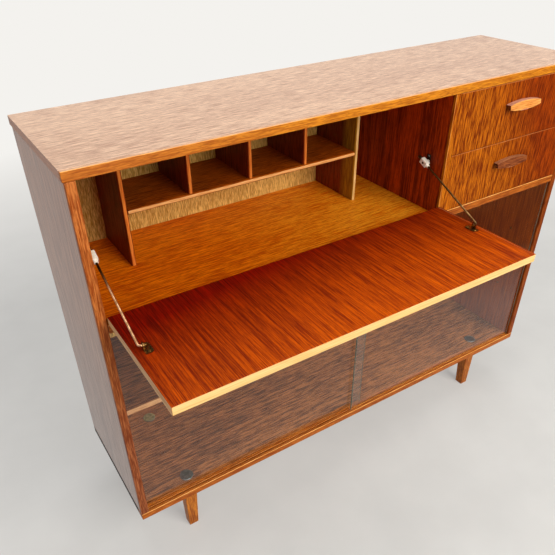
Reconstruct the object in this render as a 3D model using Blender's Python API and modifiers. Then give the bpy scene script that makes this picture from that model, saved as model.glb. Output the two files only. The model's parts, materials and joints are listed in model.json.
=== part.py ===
"""A teak drinks cabinet with a drop-down flap, pigeonholes, two drawers and sliding glass.

Metres, +X to the right, -Y to the front, +Z up. The origin is on the floor, under the middle of
the cabinet with its flap open. The flap's pieces are built closed and then turned open.
"""
import math

import bmesh
import bpy
from mathutils import Matrix, Vector

# Driving dimensions
WIDTH = 1.372
DEPTH = 0.364
LEG_HEIGHT = 0.172
BOARD = 0.019
DESK_HEIGHT = 0.592
DESK_OPENING = 0.297
DESK_WIDTH = 0.871
FLAP_OPEN = math.radians(90)

# Gaps and overruns shared by every joint
SEAT = 0.0003
OVERRUN = 0.004
WELD = 0.00001
ARRIS = 0.0006
LIP_ARRIS = 0.0014

# Carcass
TOP_OVERHANG = 0.003
LIP_DEPTH = 0.008
DIVIDER_BOARD = 0.016
DESK_BOARD = 0.0155
DESK_LIP_RISE = 0.004
BACK_PLY = 0.006
REBATE = 0.008
HOUSING = 0.006

# Glass tracks, cut in the lips of the bottom board and the desk board
TRACK_LAND = 0.007
GROOVE_WIDTH = 0.005
TRACK_RIDGE = 0.004
TRACK_BACK = 0.005
LOWER_GROOVE = 0.006
UPPER_GROOVE = 0.012
PANE = 0.004
PANE_OVERLAP = 0.035
PANE_ENGAGE = 0.006
PANE_END_GAP = 0.001

# Legs and their bolts
LEG_TOP = 0.038
LEG_FOOT = 0.0265
LEG_OUTER_TAPER = 0.003
LEG_END_INSET = 0.132
LEG_SETBACK = 0.037
LEG_ARRIS = 0.002
BOLT_DISC_RADIUS = 0.0175
BOLT_DISC = 0.0025
BOLT_DISC_ROUND = 0.001
BOLT_RADIUS = 0.004
BOLT_IN_LEG = 0.030
BOLT_CLEARANCE = 0.0004

# Shelf behind the glass
INNER_SHELF = 0.015
INNER_SHELF_RISE = 0.271
INNER_SHELF_SETBACK = 0.069
INNER_SHELF_END_GAP = 0.001
PEG_RADIUS = 0.0025
PEG_CLEARANCE = 0.0003
PEG_IN_SIDE = 0.009
PEG_OUT = 0.012
PEG_FROM_FRONT = 0.092
PEG_FROM_BACK = 0.060
PEG_PITCH = 0.102

# Pigeonholes
PIGEON_BOARD = 0.0115
PIGEON_SETBACK = 0.1915
PIGEON_LEFT_GAP = 0.125
PIGEON_PITCH = 0.154
PIGEON_COUNT = 4
PIGEON_LAST_EXTRA = 0.0055
PIGEON_SHELF_RISE = 0.122

# Drawers
DRAWER_COUNT = 2
DRAWER_GAP = 0.0008
DRAWER_FRONT = 0.018
BOX_SIDE = 0.012
BOX_WALL_GAP = 0.005
BOX_FOOT_GAP = 0.006
BOX_HEAD_GAP = 0.020
BOX_REAR_GAP = 0.012
BOX_BOTTOM = 0.005
BOX_BOTTOM_RISE = 0.008
RUNNER_HEIGHT = 0.012
RUNNER_PLAY = 0.0007
RUNNER_START = 0.024
RUNNER_GROOVE = 0.008
RUNNER_LEVEL_SHARE = 0.5

# Carved pulls
PULL_LENGTH = 0.112
PULL_END_HEIGHT = 0.014
PULL_CROWN = 0.008
PULL_BELLY = 0.008
PULL_DEPTH = 0.017
PULL_LEAN = 0.004
PULL_ROOF = 0.005
PULL_FRONT_WALL = 0.007
PULL_ROUND = 0.0014
PULL_POINTS = 12
PULL_RISE = 0.0165
FLAP_PULL_DROP = 0.040

# Flap
FLAP_FOOT_GAP = 0.0006
FLAP_HEAD_GAP = 0.0025
FLAP_END_GAP = 0.0015
FLAP_LIP = 0.005
CATCH_LENGTH = 0.040
CATCH_DEPTH = 0.014
CATCH_HEIGHT = 0.007
CATCH_GAP = 0.0005
CATCH_ROUND = 0.001

# Butt hinges of the flap
KNUCKLE_RADIUS = 0.0026
HINGE_LENGTH = 0.050
HINGE_FROM_END = 0.115
KNUCKLE_LENGTH = 0.018
KNUCKLE_GAP = 0.0004
HINGE_PIN_RADIUS = 0.0012
HINGE_PIN_CLEARANCE = 0.0003
LEAF = 0.0015
LEAF_WIDTH = 0.015

# Sliding-rod stays. The wall pivot and the flap eye lie at the same distance from the hinge line,
# so the rod always passes through the pivot block with half the flap's turn.
STAY_RADIUS = 0.134
STAY_PIVOT_SETBACK = 0.058
STAY_OFFSET = 0.014
EYE_RISE = 0.010
ROD_RADIUS = 0.0024
ROD_BEND = 0.005
ROD_TAIL = 0.023
ROD_BORE_CLEARANCE = 0.0004
FERRULE_RADIUS = 0.0038
FERRULE_LENGTH = 0.009
BLOCK_LENGTH = 0.022
BLOCK_WIDTH = 0.012
BLOCK_THICKNESS = 0.014
BLOCK_ROUND = 0.0012
COLLAR_RADIUS = 0.0045
COLLAR_LENGTH = 0.005
BOSS_RADIUS = 0.005
STUD_RADIUS = 0.0025
STUD_CLEARANCE = 0.0004
STUD_TIP_GAP = 0.0005
WALL_PLATE = 0.0018
WALL_PLATE_WIDTH = 0.013
WALL_PLATE_HEIGHT = 0.036
BRACKET = 0.0016
BRACKET_LENGTH = 0.032
BRACKET_WIDTH = 0.016
EAR_GAP = 0.0015
EAR_RADIUS = 0.006
EYE_CLEARANCE = 0.0004
EYE_END = 0.002

# Finishes: linear colour, roughness, metallic
FINISHES = {
    "top veneer": ((0.52, 0.28, 0.15), 0.35, 0.0),
    "teak lip": ((0.55, 0.20, 0.045), 0.40, 0.0),
    "teak veneer": ((0.36, 0.12, 0.035), 0.38, 0.0),
    "sapele": ((0.26, 0.045, 0.012), 0.32, 0.0),
    "pale lip": ((0.74, 0.50, 0.22), 0.45, 0.0),
    "straw plywood": ((0.55, 0.36, 0.13), 0.60, 0.0),
    "beech": ((0.60, 0.42, 0.24), 0.55, 0.0),
    "glass": ((0.75, 0.85, 0.82), 0.03, 0.0),
    "brass": ((0.72, 0.50, 0.20), 0.30, 1.0),
    "steel": ((0.50, 0.50, 0.52), 0.35, 1.0),
    "nylon": ((0.85, 0.80, 0.66), 0.45, 0.0),
}

# Planes of the cabinet
LEFT = -WIDTH / 2
RIGHT = WIDTH / 2
CARCASS_FOOT = LEG_HEIGHT
BASE_TOP = CARCASS_FOOT + BOARD
DESK_TOP = CARCASS_FOOT + DESK_HEIGHT
DESK_UNDER = DESK_TOP - DESK_BOARD
LIP_TOP = DESK_TOP + DESK_LIP_RISE
UNDER_TOP = DESK_TOP + DESK_OPENING
TOP_Z = UNDER_TOP + BOARD
HINGE_Z = LIP_TOP + FLAP_FOOT_GAP / 2
FLAP_REACH = KNUCKLE_RADIUS + UNDER_TOP - FLAP_HEAD_GAP - HINGE_Z
FRONT = (FLAP_REACH - DEPTH) / 2
BACK = FRONT + DEPTH
HINGE_Y = FRONT - KNUCKLE_RADIUS
BACK_FACE = BACK - BACK_PLY - SEAT
OUTER_LEFT = LEFT + TOP_OVERHANG
OUTER_RIGHT = RIGHT - TOP_OVERHANG
INNER_LEFT = OUTER_LEFT + BOARD
INNER_RIGHT = OUTER_RIGHT - BOARD
DIVIDER_LEFT = INNER_LEFT + DESK_WIDTH
DIVIDER_RIGHT = DIVIDER_LEFT + DIVIDER_BOARD
TRACK_DEPTH = TRACK_LAND + 2 * GROOVE_WIDTH + TRACK_RIDGE + TRACK_BACK
PULL_TOP = PULL_END_HEIGHT / 2 + PULL_CROWN
PULL_FOOT = -PULL_END_HEIGHT / 2 - PULL_BELLY

parts = None
cutters = None


def clear_scene():
    """Remove what is in the scene and make the two collections."""
    global parts, cutters
    for ob in list(bpy.data.objects):
        bpy.data.objects.remove(ob, do_unlink=True)
    parts = bpy.data.collections.new("drinks_cabinet")
    cutters = bpy.data.collections.new("cutters")
    bpy.context.scene.collection.children.link(parts)
    bpy.context.scene.collection.children.link(cutters)


def file_under(ob, collection):
    for old in list(ob.users_collection):
        old.objects.unlink(ob)
    collection.objects.link(ob)


def finish_piece(ob, finish):
    """Put a piece in the cabinet's collection with a material of its own."""
    colour, roughness, metallic = FINISHES[finish]
    material = bpy.data.materials.new(ob.name + " " + finish)
    material.use_nodes = True
    shader = material.node_tree.nodes["Principled BSDF"]
    shader.inputs["Base Color"].default_value = (*colour, 1)
    shader.inputs["Roughness"].default_value = roughness
    shader.inputs["Metallic"].default_value = metallic
    ob.data.materials.append(material)
    file_under(ob, parts)
    return ob


def as_cutter(ob):
    ob.hide_render = True
    ob.display_type = "WIRE"
    file_under(ob, cutters)
    return ob


def cube(name, x, y, z):
    """A plain box between two x, two y and two z planes."""
    low = Vector((x[0], y[0], z[0]))
    high = Vector((x[1], y[1], z[1]))
    bpy.ops.mesh.primitive_cube_add(size=1, location=(low + high) / 2)
    ob = bpy.context.object
    ob.name = name
    ob.scale = high - low
    bpy.ops.object.transform_apply(location=False, rotation=False, scale=True)
    return ob


def cylinder(name, radius, start, end, sides=24):
    """A cylinder between two points on a line along X, Y or Z."""
    start = Vector(start)
    end = Vector(end)
    along = end - start
    turn = along.to_track_quat("Z", "Y").to_euler()
    bpy.ops.mesh.primitive_cylinder_add(vertices=sides, radius=radius, depth=along.length,
                                        location=(start + end) / 2, rotation=turn)
    ob = bpy.context.object
    ob.name = name
    shade_round(ob)
    return ob


def shade_round(ob):
    ob.data.shade_smooth()
    ob.data.set_sharp_from_angle(angle=math.radians(35))


def round_edges(ob, width, segments=1):
    bevel = ob.modifiers.new("rounded edges", "BEVEL")
    bevel.width = width
    bevel.segments = segments
    bevel.limit_method = "ANGLE"


def board(name, x, y, z, finish, arris=ARRIS, segments=1):
    ob = cube(name, x, y, z)
    round_edges(ob, arris, segments)
    return finish_piece(ob, finish)


def lip(name, x, y, z, finish="teak lip"):
    """A solid strip with softly rounded edges."""
    return board(name, x, y, z, finish, LIP_ARRIS, 2)


def combine(ob, tool, operation):
    boolean = ob.modifiers.new(tool.name, "BOOLEAN")
    boolean.operation = operation
    boolean.solver = "EXACT"
    boolean.object = tool


def cut(ob, tool):
    combine(ob, tool, "DIFFERENCE")


def fuse(ob, tool):
    combine(ob, tool, "UNION")


def box_cutter(name, x, y, z):
    return as_cutter(cube(name, x, y, z))


def round_cutter(name, radius, start, end, sides=24):
    return as_cutter(cylinder(name, radius, start, end, sides))


def pivot(name, place):
    """An empty on a joint's axis, which carries the pieces that turn or slide there."""
    empty = bpy.data.objects.new(name, None)
    empty.location = place
    parts.objects.link(empty)
    return empty


def hang(empty, *pieces):
    """Let pieces that are already in place follow an empty."""
    for ob in pieces:
        ob.parent = empty
        ob.matrix_parent_inverse = Matrix.Translation(-empty.location)


def span(centre, length):
    return (centre - length / 2, centre + length / 2)


def build_carcass():
    board_front = FRONT + LIP_DEPTH + SEAT
    track_rear = FRONT + TRACK_DEPTH + SEAT
    side_z = (BASE_TOP + SEAT, UNDER_TOP - SEAT)
    top = board("top_panel", (LEFT, RIGHT), (board_front, BACK), (UNDER_TOP, TOP_Z), "top veneer")
    lip("top_lipping", (LEFT, RIGHT), (FRONT, FRONT + LIP_DEPTH), (UNDER_TOP, TOP_Z))
    left = board("left_side", (OUTER_LEFT, INNER_LEFT), (board_front, BACK), side_z, "teak veneer")
    lip("left_side_lipping", (OUTER_LEFT, INNER_LEFT), (FRONT, FRONT + LIP_DEPTH), side_z)
    right = board("right_side", (INNER_RIGHT, OUTER_RIGHT), (board_front, BACK), side_z, "teak veneer")
    lip("right_side_lipping", (INNER_RIGHT, OUTER_RIGHT), (FRONT, FRONT + LIP_DEPTH), side_z)
    bottom = board("bottom_board", (OUTER_LEFT, OUTER_RIGHT), (track_rear, BACK),
                   (CARCASS_FOOT, BASE_TOP), "teak veneer")
    bottom_lip = lip("bottom_lipping", (OUTER_LEFT, OUTER_RIGHT), (FRONT, FRONT + TRACK_DEPTH),
                     (CARCASS_FOOT, BASE_TOP))
    board("desk_board", (INNER_LEFT - HOUSING, INNER_RIGHT + HOUSING), (track_rear, BACK_FACE),
          (DESK_UNDER, DESK_TOP), "teak veneer")
    desk_lip = lip("desk_lipping", (INNER_LEFT + SEAT, INNER_RIGHT - SEAT),
                   (FRONT, FRONT + TRACK_DEPTH), (DESK_UNDER, LIP_TOP))
    divider = board("divider", (DIVIDER_LEFT, DIVIDER_RIGHT), (board_front, BACK_FACE),
                    (DESK_TOP + SEAT, UNDER_TOP - SEAT), "sapele")
    lip("divider_lipping", (DIVIDER_LEFT, DIVIDER_RIGHT), (FRONT, FRONT + LIP_DEPTH),
        (LIP_TOP + SEAT, UNDER_TOP - SEAT))
    notch = box_cutter("notch_over_desk_lip", (DIVIDER_LEFT - OVERRUN, DIVIDER_RIGHT + OVERRUN),
                       (FRONT, track_rear), (DESK_UNDER, LIP_TOP + SEAT))
    cut(divider, notch)
    board("back_panel", (INNER_LEFT - REBATE, INNER_RIGHT + REBATE), (BACK - BACK_PLY, BACK),
          (BASE_TOP - REBATE, UNDER_TOP + REBATE), "straw plywood")

    rebate = box_cutter("rebate_for_back", (INNER_LEFT - REBATE - SEAT, INNER_RIGHT + REBATE + SEAT),
                        (BACK_FACE, BACK + OVERRUN),
                        (BASE_TOP - REBATE - SEAT, UNDER_TOP + REBATE + SEAT))
    for piece in (top, left, right, bottom):
        cut(piece, rebate)
    housing = box_cutter("housing_for_desk",
                         (INNER_LEFT - HOUSING - SEAT, INNER_RIGHT + HOUSING + SEAT),
                         (track_rear - SEAT, BACK + OVERRUN), (DESK_UNDER - SEAT, DESK_TOP + SEAT))
    for piece in (left, right):
        cut(piece, housing)
    for index in range(2):
        y = groove_span(index)
        lower = box_cutter("lower_groove_%d" % index, (INNER_LEFT, INNER_RIGHT), y,
                           (BASE_TOP - LOWER_GROOVE, BASE_TOP + OVERRUN))
        upper = box_cutter("upper_groove_%d" % index, (INNER_LEFT - OVERRUN, INNER_RIGHT + OVERRUN),
                           y, (DESK_UNDER - OVERRUN, DESK_UNDER + UPPER_GROOVE))
        cut(bottom_lip, lower)
        cut(desk_lip, upper)
    return left, right, bottom, desk_lip


def groove_span(index):
    """The front (0) or rear (1) glass groove, from front to back."""
    start = FRONT + TRACK_LAND + index * (GROOVE_WIDTH + TRACK_RIDGE)
    return (start, start + GROOVE_WIDTH)


def build_leg(name, x_side, y_side, bottom):
    """A square leg that tapers a little on its two outer faces and more on its two inner ones."""
    outer_x = x_side * (WIDTH / 2 - LEG_END_INSET)
    outer_y = FRONT + LEG_SETBACK if y_side < 0 else BACK - LEG_SETBACK
    x = sorted((outer_x, outer_x - x_side * LEG_TOP))
    y = sorted((outer_y, outer_y - y_side * LEG_TOP))
    leg = cube(name, x, y, (0, CARCASS_FOOT - SEAT))
    foot_share = LEG_FOOT / LEG_TOP
    corner = Vector((outer_x, outer_y, 0)) - leg.location
    foot_corner = corner - Vector((x_side, y_side, 0)) * LEG_OUTER_TAPER
    for vertex in leg.data.vertices:
        if vertex.co.z < 0:
            vertex.co.x = foot_corner.x + (vertex.co.x - corner.x) * foot_share
            vertex.co.y = foot_corner.y + (vertex.co.y - corner.y) * foot_share
    round_edges(leg, LEG_ARRIS, 2)
    finish_piece(leg, "teak lip")

    middle = Vector((sum(x) / 2, sum(y) / 2, 0))
    hole_radius = BOLT_RADIUS + BOLT_CLEARANCE
    hole = round_cutter(name + "_bolt_hole", hole_radius,
                        middle + Vector((0, 0, CARCASS_FOOT - BOLT_IN_LEG - SEAT)),
                        middle + Vector((0, 0, BASE_TOP + OVERRUN)), 20)
    cut(leg, hole)
    cut(bottom, hole)
    build_bolt(name.replace("leg", "leg_bolt"), middle)


def build_bolt(name, middle):
    """The bolt that holds a leg: a flat steel disc on the cabinet floor and a shank below it."""
    disc_foot = BASE_TOP + SEAT
    disc_top = disc_foot + BOLT_DISC
    profile = (
        (0, disc_top),
        (BOLT_DISC_RADIUS - BOLT_DISC_ROUND, disc_top),
        (BOLT_DISC_RADIUS, disc_top - BOLT_DISC_ROUND),
        (BOLT_DISC_RADIUS, disc_foot),
        (BOLT_RADIUS, disc_foot),
        (BOLT_RADIUS, CARCASS_FOOT - BOLT_IN_LEG),
        (0, CARCASS_FOOT - BOLT_IN_LEG),
    )
    mesh = bpy.data.meshes.new(name)
    points = [(radius, 0, z - disc_foot) for radius, z in profile]
    mesh.from_pydata(points, [(i, i + 1) for i in range(len(points) - 1)], [])
    bolt = bpy.data.objects.new(name, mesh)
    bolt.location = middle + Vector((0, 0, disc_foot))
    parts.objects.link(bolt)
    screw = bolt.modifiers.new("turned", "SCREW")
    screw.steps = 24
    screw.render_steps = 24
    screw.use_merge_vertices = True
    screw.merge_threshold = 0.0001
    screw.use_smooth_shade = True
    finish_piece(bolt, "steel")


def build_inner_shelf(left, right):
    shelf_foot = BASE_TOP + INNER_SHELF_RISE
    board("inner_shelf", (INNER_LEFT + INNER_SHELF_END_GAP, INNER_RIGHT - INNER_SHELF_END_GAP),
          (FRONT + INNER_SHELF_SETBACK, BACK_FACE), (shelf_foot, shelf_foot + INNER_SHELF),
          "teak veneer", LIP_ARRIS, 2)
    peg_z = shelf_foot - SEAT - PEG_RADIUS
    hole_radius = PEG_RADIUS + PEG_CLEARANCE
    for side, wall, inward, name in ((left, INNER_LEFT, 1, "left"), (right, INNER_RIGHT, -1, "right")):
        for y, place in ((FRONT + PEG_FROM_FRONT, "front"), (BACK - PEG_FROM_BACK, "rear")):
            start = wall - inward * PEG_IN_SIDE
            peg = cylinder("shelf_peg_%s_%s" % (place, name), PEG_RADIUS, (start, y, peg_z),
                           (wall + inward * PEG_OUT, y, peg_z), 16)
            finish_piece(peg, "brass")
            for row in (-1, 0, 1):
                z = peg_z + row * PEG_PITCH
                hole = round_cutter("peg_hole_%s_%s_%d" % (place, name, row), hole_radius,
                                    (start - inward * SEAT, y, z), (wall + inward * OVERRUN, y, z), 16)
                cut(side, hole)


def build_pigeonholes():
    """Two full-height uprights, a shelf between them and dividers over the shelf."""
    start = INNER_LEFT + PIGEON_LEFT_GAP
    y = (FRONT + PIGEON_SETBACK, BACK_FACE)
    full_z = (DESK_TOP + SEAT, UNDER_TOP - SEAT)
    shelf_foot = DESK_TOP + PIGEON_SHELF_RISE
    shelf_top = shelf_foot + PIGEON_BOARD
    end = start + PIGEON_COUNT * PIGEON_PITCH + PIGEON_LAST_EXTRA + PIGEON_BOARD
    board("pigeonhole_left_upright", (start, start + PIGEON_BOARD), y, full_z, "sapele")
    board("pigeonhole_right_upright", (end - PIGEON_BOARD, end), y, full_z, "sapele")
    board("pigeonhole_shelf", (start + PIGEON_BOARD + SEAT, end - PIGEON_BOARD - SEAT), y,
          (shelf_foot, shelf_top), "sapele")
    for index in range(1, PIGEON_COUNT):
        x = start + index * PIGEON_PITCH
        board("pigeonhole_divider_%d" % index, (x, x + PIGEON_BOARD), y,
              (shelf_top + SEAT, UNDER_TOP - SEAT), "sapele")


def pull_arch(ends, rise):
    """A curve along a pull: level with its tips at both ends, and further by rise in the middle."""
    points = []
    for index in range(PULL_POINTS + 1):
        share = 2 * index / PULL_POINTS - 1
        points.append((share * PULL_LENGTH / 2, ends + rise * (1 - share * share)))
    return points


def outline_body(name, outline, y, place):
    """A flat outline in X and Z about a place, made solid from one y plane to another."""
    curve = bpy.data.curves.new(name, "CURVE")
    curve.dimensions = "2D"
    curve.fill_mode = "BOTH"
    curve.extrude = (y[1] - y[0]) / 2
    spline = curve.splines.new("POLY")
    spline.points.add(len(outline) - 1)
    for point, (across, up) in zip(spline.points, outline):
        point.co = (across, up, 0, 1)
    spline.use_cyclic_u = True
    shape = bpy.data.objects.new(name + "_outline", curve)
    parts.objects.link(shape)
    shape.location = (place[0], sum(y) / 2, place[1])
    shape.rotation_euler = (math.radians(90), 0, 0)
    bpy.context.view_layer.update()
    mesh = bpy.data.meshes.new_from_object(shape.evaluated_get(bpy.context.evaluated_depsgraph_get()))
    body = bpy.data.objects.new(name, mesh)
    body.matrix_world = shape.matrix_world.copy()
    bpy.data.objects.remove(shape, do_unlink=True)
    parts.objects.link(body)
    model = bmesh.new()
    model.from_mesh(mesh)
    bmesh.ops.remove_doubles(model, verts=model.verts, dist=WELD)
    bmesh.ops.recalc_face_normals(model, faces=model.faces)
    model.to_mesh(mesh)
    model.free()
    return body


def build_pull(name, x, z):
    """A carved pull: a leaf-shaped front wall that leans back, under a roof, open below and at the ends."""
    top = pull_arch(PULL_END_HEIGHT / 2, PULL_CROWN)
    foot = pull_arch(-PULL_END_HEIGHT / 2, -PULL_BELLY)
    pull = outline_body(name, top + foot[::-1], (FRONT - SEAT - PULL_DEPTH, FRONT - SEAT), (x, z))
    for vertex in pull.data.vertices:
        if vertex.co.z > 0:
            vertex.co.z -= PULL_LEAN * (vertex.co.y - PULL_FOOT) / (PULL_TOP - PULL_FOOT)
    round_edges(pull, PULL_ROUND, 2)
    finish_piece(pull, "teak lip")
    shade_round(pull)

    ceiling = pull_arch(PULL_END_HEIGHT / 2 - PULL_ROOF, PULL_CROWN)
    end = PULL_LENGTH / 2 + OVERRUN
    low = PULL_FOOT - OVERRUN
    outline = [(-end, low), (-end, ceiling[0][1])] + ceiling + [(end, ceiling[-1][1]), (end, low)]
    inner_face = FRONT - PULL_DEPTH + PULL_FRONT_WALL
    hollow = outline_body(name + "_finger_hollow", outline, (inner_face, FRONT + OVERRUN), (x, z))
    cut(pull, as_cutter(hollow))
    return pull, hollow


def build_drawers():
    opening = UNDER_TOP - LIP_TOP
    front_height = (opening - (DRAWER_COUNT + 1) * DRAWER_GAP) / DRAWER_COUNT
    x = (DIVIDER_RIGHT + DRAWER_GAP, INNER_RIGHT - DRAWER_GAP)
    for index, name in enumerate(("lower", "upper")):
        foot = LIP_TOP + DRAWER_GAP + index * (front_height + DRAWER_GAP)
        build_drawer("drawer_" + name, x, foot, front_height)


def build_drawer(name, x, foot, height):
    centre_x = sum(x) / 2
    front = board(name + "_front", x, (FRONT, FRONT + DRAWER_FRONT), (foot, foot + height),
                  "teak veneer", LIP_ARRIS)
    pull, hollow = build_pull(name + "_pull", centre_x, foot + height / 2 + PULL_RISE)

    wall_x = (DIVIDER_RIGHT + BOX_WALL_GAP, INNER_RIGHT - BOX_WALL_GAP)
    box_y = (FRONT + DRAWER_FRONT + SEAT, BACK_FACE - BOX_REAR_GAP)
    box_z = (foot + BOX_FOOT_GAP, foot + height - BOX_HEAD_GAP)
    box = board(name + "_box", wall_x, box_y, box_z, "beech")
    inside_x = (wall_x[0] + BOX_SIDE, wall_x[1] - BOX_SIDE)
    inside_y = (box_y[0] - OVERRUN, box_y[1] - BOX_SIDE)
    bottom_z = box_z[0] + BOX_BOTTOM_RISE
    cavity = box_cutter(name + "_cavity", inside_x, inside_y, (bottom_z + BOX_BOTTOM, box_z[1] + OVERRUN))
    below = box_cutter(name + "_below_bottom", inside_x, inside_y, (box_z[0] - OVERRUN, bottom_z))
    cut(box, cavity)
    cut(box, below)
    moving = [front, pull, hollow, box, cavity, below]

    runner_z = box_z[0] + (box_z[1] - box_z[0]) * RUNNER_LEVEL_SHARE
    runner_out = BOX_WALL_GAP + RUNNER_GROOVE - RUNNER_PLAY
    groove_start = FRONT + DRAWER_FRONT + RUNNER_START
    for side, wall, inward in (("left", DIVIDER_RIGHT, 1), ("right", INNER_RIGHT, -1)):
        runner_x = sorted((wall + inward * SEAT, wall + inward * runner_out))
        board("%s_%s_runner" % (name, side), runner_x, (groove_start + SEAT, BACK_FACE),
              (runner_z - RUNNER_HEIGHT, runner_z), "beech")
        groove_x = sorted((wall, wall + inward * (BOX_WALL_GAP + RUNNER_GROOVE)))
        groove = box_cutter("%s_%s_groove" % (name, side), groove_x, (groove_start, box_y[1] + OVERRUN),
                            (runner_z - RUNNER_HEIGHT - RUNNER_PLAY, runner_z + SEAT))
        cut(box, groove)
        moving.append(groove)
    slide = pivot(name + "_slide", (centre_x, FRONT, foot + height / 2))
    hang(slide, *moving)


def build_panes():
    opening = INNER_RIGHT - INNER_LEFT
    width = (opening + PANE_OVERLAP) / 2
    z = (BASE_TOP - LOWER_GROOVE + SEAT, DESK_UNDER + PANE_ENGAGE)
    ends = (("pane_right", 0, INNER_RIGHT - PANE_END_GAP - width),
            ("pane_left", 1, INNER_LEFT + PANE_END_GAP))
    for name, groove, start in ends:
        y = span(sum(groove_span(groove)) / 2, PANE)
        pane = board(name, (start, start + width), y, z, "glass")
        slide = pivot(name + "_slide", (start + width / 2, sum(y) / 2, z[0]))
        hang(slide, pane)


def hinge_leaf(name, x, z, knuckles, finish):
    """A leaf let in flush, with a short tongue that reaches each of its knuckles."""
    leaf = finish_piece(cube(name, span(x, HINGE_LENGTH), (FRONT + SEAT, FRONT + LEAF_WIDTH), z), finish)
    tools = []
    for index, (start, end) in enumerate(knuckles):
        tongue = box_cutter("%s_tongue_%d" % (name, index), (start, end), (HINGE_Y, FRONT + OVERRUN), z)
        knuckle = round_cutter("%s_knuckle_%d" % (name, index), KNUCKLE_RADIUS,
                               (start, HINGE_Y, HINGE_Z), (end, HINGE_Y, HINGE_Z), 20)
        fuse(leaf, tongue)
        fuse(leaf, knuckle)
        tools += [tongue, knuckle]
    return leaf, tools


def build_hinge(name, x, desk_lip, flap_panel):
    """A butt hinge with one middle knuckle on the desk and two outer ones on the flap."""
    ends = span(x, HINGE_LENGTH)
    middle = span(x, KNUCKLE_LENGTH)
    desk_z = (LIP_TOP - LEAF, LIP_TOP)
    desk_leaf, tools = hinge_leaf(name + "_desk_leaf", x, desk_z, [middle], "brass")
    pin = round_cutter(name + "_pin", HINGE_PIN_RADIUS, (ends[0], HINGE_Y, HINGE_Z),
                       (ends[1], HINGE_Y, HINGE_Z), 12)
    fuse(desk_leaf, pin)

    flap_z = (LIP_TOP + FLAP_FOOT_GAP, LIP_TOP + FLAP_FOOT_GAP + LEAF)
    outer = [(ends[0], middle[0] - KNUCKLE_GAP), (middle[1] + KNUCKLE_GAP, ends[1])]
    flap_leaf, moving = hinge_leaf(name + "_flap_leaf", x, flap_z, outer, "brass")
    bore = round_cutter(name + "_bore", HINGE_PIN_RADIUS + HINGE_PIN_CLEARANCE,
                        (ends[0] - OVERRUN, HINGE_Y, HINGE_Z), (ends[1] + OVERRUN, HINGE_Y, HINGE_Z), 12)
    cut(flap_leaf, bore)

    mortise_x = span(x, HINGE_LENGTH + 2 * SEAT)
    mortise_y = (HINGE_Y, FRONT + LEAF_WIDTH + SEAT)
    desk_mortise = box_cutter(name + "_desk_mortise", mortise_x, mortise_y,
                              (desk_z[0] - SEAT, LIP_TOP + OVERRUN))
    flap_mortise = box_cutter(name + "_flap_mortise", mortise_x, mortise_y,
                              (LIP_TOP - OVERRUN, flap_z[1] + SEAT))
    reliefs = []
    for piece in (desk_lip, flap_panel):
        reliefs.append(round_cutter("%s_relief_%s" % (name, piece.name), KNUCKLE_RADIUS + SEAT,
                                    (mortise_x[0], HINGE_Y, HINGE_Z), (mortise_x[1], HINGE_Y, HINGE_Z)))
        cut(piece, reliefs[-1])
    cut(desk_lip, desk_mortise)
    cut(flap_panel, flap_mortise)
    return [flap_leaf, bore, flap_mortise, reliefs[1]] + moving


def stay_geometry():
    """Places of the wall pivot and the flap eye from the hinge line: (y, z) each."""
    pivot_z = math.sqrt(STAY_RADIUS ** 2 - STAY_PIVOT_SETBACK ** 2)
    eye_out = KNUCKLE_RADIUS + BOARD + EYE_RISE
    eye_along = math.sqrt(STAY_RADIUS ** 2 - eye_out ** 2)
    return (STAY_PIVOT_SETBACK, pivot_z), (eye_out, eye_along)


def build_bracket(name, wall, inward):
    """The flap's bracket: a plate on its inner face and an ear with the hole for the rod."""
    eye_out, eye_along = stay_geometry()[1]
    eye = Vector((0, HINGE_Y + eye_out, HINGE_Z + eye_along))
    face = FRONT + BOARD + SEAT
    ear_start = wall + inward * (STAY_OFFSET + ROD_BEND + EAR_GAP)
    ear_end = ear_start + inward * BRACKET
    plate_end = ear_start + inward * BRACKET_WIDTH
    plate = cube(name, sorted((ear_start, plate_end)), (face, face + BRACKET),
                 span(eye.z, BRACKET_LENGTH))
    finish_piece(plate, "brass")
    ear_x = sorted((ear_start, ear_end))
    web = box_cutter(name + "_web", ear_x, (face, eye.y), span(eye.z, 2 * EAR_RADIUS))
    crown = round_cutter(name + "_crown", EAR_RADIUS, (ear_x[0], eye.y, eye.z), (ear_x[1], eye.y, eye.z))
    hole = round_cutter(name + "_hole", ROD_RADIUS + EYE_CLEARANCE,
                        (ear_x[0] - OVERRUN, eye.y, eye.z), (ear_x[1] + OVERRUN, eye.y, eye.z))
    fuse(plate, web)
    fuse(plate, crown)
    cut(plate, hole)
    return [plate, web, crown, hole]


def rod_path(inward, length):
    """The rod's centre line: the pin through the ear, a quarter bend, then straight to the tail."""
    pin_end = ROD_BEND + EAR_GAP + BRACKET + EYE_END
    points = [(inward * pin_end, 0, 0)]
    steps = 6
    for index in range(steps + 1):
        angle = math.radians(90) * index / steps
        points.append((inward * ROD_BEND * (1 - math.sin(angle)), 0, ROD_BEND * (1 - math.cos(angle))))
    points.append((0, 0, length))
    return points


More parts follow.
